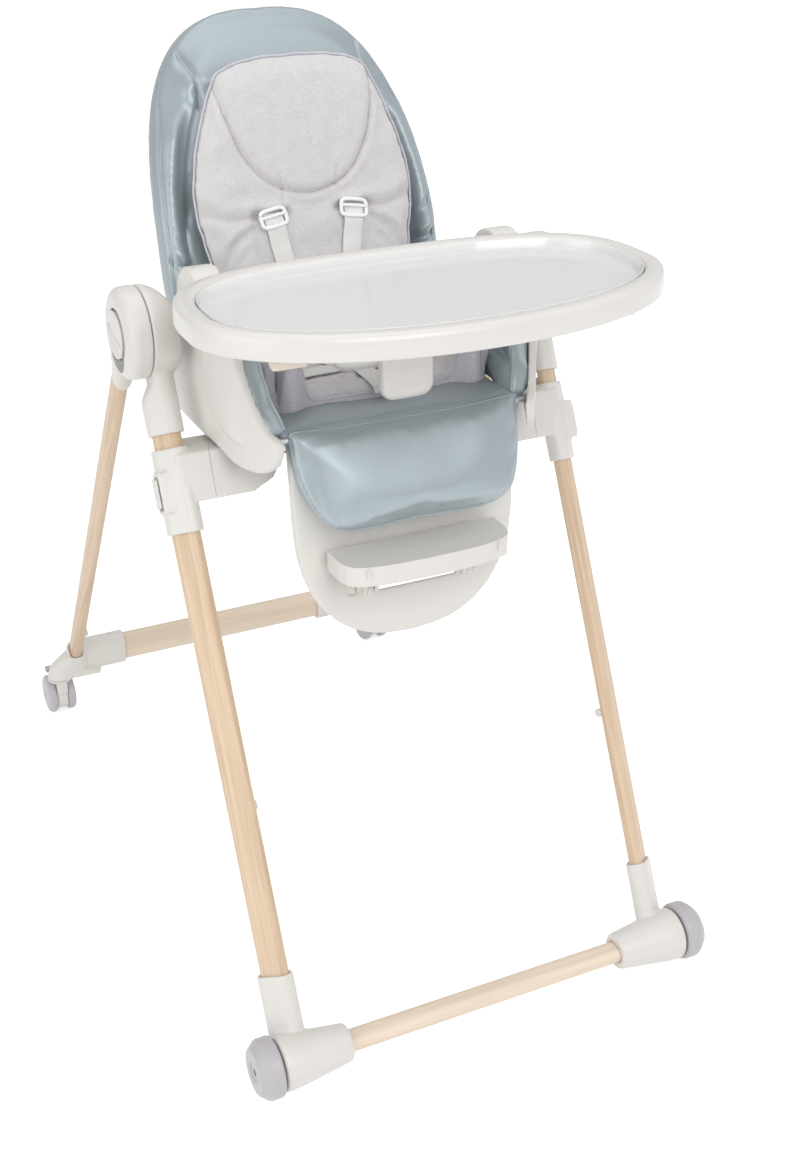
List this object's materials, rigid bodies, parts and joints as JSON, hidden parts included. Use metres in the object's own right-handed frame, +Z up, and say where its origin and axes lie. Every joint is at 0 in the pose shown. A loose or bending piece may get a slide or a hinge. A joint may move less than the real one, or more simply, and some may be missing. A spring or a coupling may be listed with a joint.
{
  "type": "baby high chair",
  "caption": "Folding baby high chair: wooden A-frame on wheels and casters, sliding padded seat, reclining backrest, leg rest with footstep, tray with clear insert.",
  "frame": {"origin": "on the floor, in the middle of the chair's width and of its depth", "axes": "+Z up; the seated child faces -Y, so the tray is at -Y and the casters at +Y; +X is to the right of someone who faces the chair from the front"},
  "size_m": [0.576, 0.958, 1.0469],
  "materials": {
    "white_plastic": "satin moulded plastic",
    "grey_plastic": "satin moulded plastic",
    "cream_plastic": "satin moulded plastic",
    "clear_plastic": "polished clear plastic",
    "wood": "clear satin varnish over beech",
    "steel": "bright zinc plate",
    "leatherette": "satin coated fabric over foam",
    "jersey": "fine knitted jersey over wadding",
    "webbing": "flat woven webbing"
  },
  "bodies": {
    "front_frame": {"front_leg_left": "wood", "front_leg_right": "wood", "front_foot_left": "white_plastic", "front_foot_right": "white_plastic", "front_crossbar": "wood", "front_hub_left": "white_plastic", "front_hub_right": "white_plastic", "hub_pivot_pins": "steel", "front_axles": "steel", "leg_stops": "white_plastic"},
    "front_wheel_left": {"front_wheel_left": "grey_plastic"},
    "front_wheel_right": {"front_wheel_right": "grey_plastic"},
    "rear_frame": {"rear_leg_left": "wood", "rear_leg_right": "wood", "rear_hub_left": "white_plastic", "rear_hub_right": "white_plastic", "rear_foot_left": "white_plastic", "rear_foot_right": "white_plastic", "rear_crossbar": "wood", "leg_bumpers": "white_plastic"},
    "caster_left": {"caster_fork_left": "white_plastic", "caster_axle_left": "steel"},
    "caster_right": {"caster_fork_right": "white_plastic", "caster_axle_right": "steel"},
    "caster_wheels_left": {"caster_wheels_left": "grey_plastic"},
    "caster_wheels_right": {"caster_wheels_right": "grey_plastic"},
    "brake_left": {"brake_pedal_left": "grey_plastic"},
    "brake_right": {"brake_pedal_right": "grey_plastic"},
    "hub_button_left": {"hub_button_left": "white_plastic"},
    "hub_button_right": {"hub_button_right": "white_plastic"},
    "seat": {"slider_left": "white_plastic", "slider_right": "white_plastic", "seat_base": "white_plastic", "side_shell_left": "white_plastic", "side_shell_right": "white_plastic", "seat_pad": "leatherette", "side_bolster_left": "leatherette", "side_bolster_right": "leatherette", "seat_liner": "jersey", "crotch_strap": "webbing", "lap_straps": "webbing", "harness_buckle": "white_plastic"},
    "slider_button_left": {"slider_button_left": "white_plastic"},
    "slider_button_right": {"slider_button_right": "white_plastic"},
    "backrest": {"back_shell": "white_plastic", "back_pad": "leatherette", "back_liner": "jersey", "back_hinge_rod": "steel", "shoulder_strap_left": "webbing", "shoulder_strap_right": "webbing", "strap_adjusters": "white_plastic"},
    "recline_handle": {"recline_handle": "white_plastic"},
    "legrest": {"legrest_panel": "white_plastic", "calf_pad": "leatherette", "legrest_hinge_rod": "steel"},
    "footstep": {"footstep": "white_plastic"},
    "tray": {"tray": "white_plastic"},
    "tray_insert": {"tray_insert": "clear_plastic"},
    "tray_latch_left": {"tray_latch_left": "cream_plastic"},
    "tray_latch_right": {"tray_latch_right": "cream_plastic"}
  },
  "joints": [
    {"name": "rear_frame_fold", "type": "hinge", "parent": "front_frame", "child": "rear_frame", "pos_m": [0, -0.07269, 0.76], "axis": [-1, 0, 0], "range_deg": [0, 34]},
    {"name": "front_wheel_left_spin", "type": "hinge", "parent": "front_frame", "child": "front_wheel_left", "pos_m": [-0.27, -0.44454, 0.0345], "axis": [1, 0, 0], "continuous": true},
    {"name": "front_wheel_right_spin", "type": "hinge", "parent": "front_frame", "child": "front_wheel_right", "pos_m": [0.27, -0.44454, 0.0345], "axis": [1, 0, 0], "continuous": true},
    {"name": "caster_left_swivel", "type": "hinge", "parent": "rear_frame", "child": "caster_left", "pos_m": [-0.264, 0.43604, 0.07], "axis": [0, 0, 1], "continuous": true},
    {"name": "caster_wheels_left_spin", "type": "hinge", "parent": "caster_left", "child": "caster_wheels_left", "pos_m": [-0.264, 0.45004, 0.029], "axis": [1, 0, 0], "continuous": true},
    {"name": "brake_left_press", "type": "hinge", "parent": "caster_left", "child": "brake_left", "pos_m": [-0.264, 0.45904, 0.0585], "axis": [-1, 0, 0], "range_deg": [0, 14]},
    {"name": "hub_button_left_push", "type": "slide", "parent": "rear_frame", "child": "hub_button_left", "axis": [1, 0, 0], "range_m": [0, 0.0035], "stiffness_N_per_m": 400},
    {"name": "caster_right_swivel", "type": "hinge", "parent": "rear_frame", "child": "caster_right", "pos_m": [0.264, 0.43604, 0.07], "axis": [0, 0, 1], "continuous": true},
    {"name": "caster_wheels_right_spin", "type": "hinge", "parent": "caster_right", "child": "caster_wheels_right", "pos_m": [0.264, 0.45004, 0.029], "axis": [1, 0, 0], "continuous": true},
    {"name": "brake_right_press", "type": "hinge", "parent": "caster_right", "child": "brake_right", "pos_m": [0.264, 0.45904, 0.0585], "axis": [-1, 0, 0], "range_deg": [0, 14]},
    {"name": "hub_button_right_push", "type": "slide", "parent": "rear_frame", "child": "hub_button_right", "axis": [-1, 0, 0], "range_m": [0, 0.0035], "stiffness_N_per_m": 400},
    {"name": "seat_height", "type": "slide", "parent": "front_frame", "child": "seat", "axis": [0, -0.4384, -0.8988], "range_m": [0, 0.3]},
    {"name": "slider_button_left_squeeze", "type": "slide", "parent": "seat", "child": "slider_button_left", "axis": [1, 0, 0], "range_m": [0, 0.003], "stiffness_N_per_m": 400},
    {"name": "slider_button_right_squeeze", "type": "slide", "parent": "seat", "child": "slider_button_right", "axis": [-1, 0, 0], "range_m": [0, 0.003], "stiffness_N_per_m": 400},
    {"name": "backrest_recline", "type": "hinge", "parent": "seat", "child": "backrest", "pos_m": [0, 0.03231, 0.665], "axis": [-1, 0, 0], "range_deg": [0, 35]},
    {"name": "recline_handle_pull", "type": "hinge", "parent": "backrest", "child": "recline_handle", "pos_m": [0, 0.07763, 0.7978], "axis": [1, 0, 0], "range_deg": [0, 30]},
    {"name": "leg_rest_lift", "type": "hinge", "parent": "seat", "child": "legrest", "pos_m": [0, -0.22469, 0.67], "axis": [-1, 0, 0], "range_deg": [0, 70]},
    {"name": "footstep_fold", "type": "hinge", "parent": "legrest", "child": "footstep", "pos_m": [0, -0.26319, 0.49507], "axis": [1, 0, 0], "range_deg": [0, 70]},
    {"name": "tray_slide", "type": "slide", "parent": "seat", "child": "tray", "axis": [0, -1, 0], "range_m": [0, 0.06]},
    {"name": "tray_insert_lift", "type": "slide", "parent": "tray", "child": "tray_insert", "axis": [0, 0, 1], "range_m": [0, 0.06]},
    {"name": "tray_latch_left_squeeze", "type": "slide", "parent": "tray", "child": "tray_latch_left", "axis": [1, 0, 0], "range_m": [0, 0.005], "stiffness_N_per_m": 400},
    {"name": "tray_latch_right_squeeze", "type": "slide", "parent": "tray", "child": "tray_latch_right", "axis": [-1, 0, 0], "range_m": [0, 0.005], "stiffness_N_per_m": 400}
  ]
}
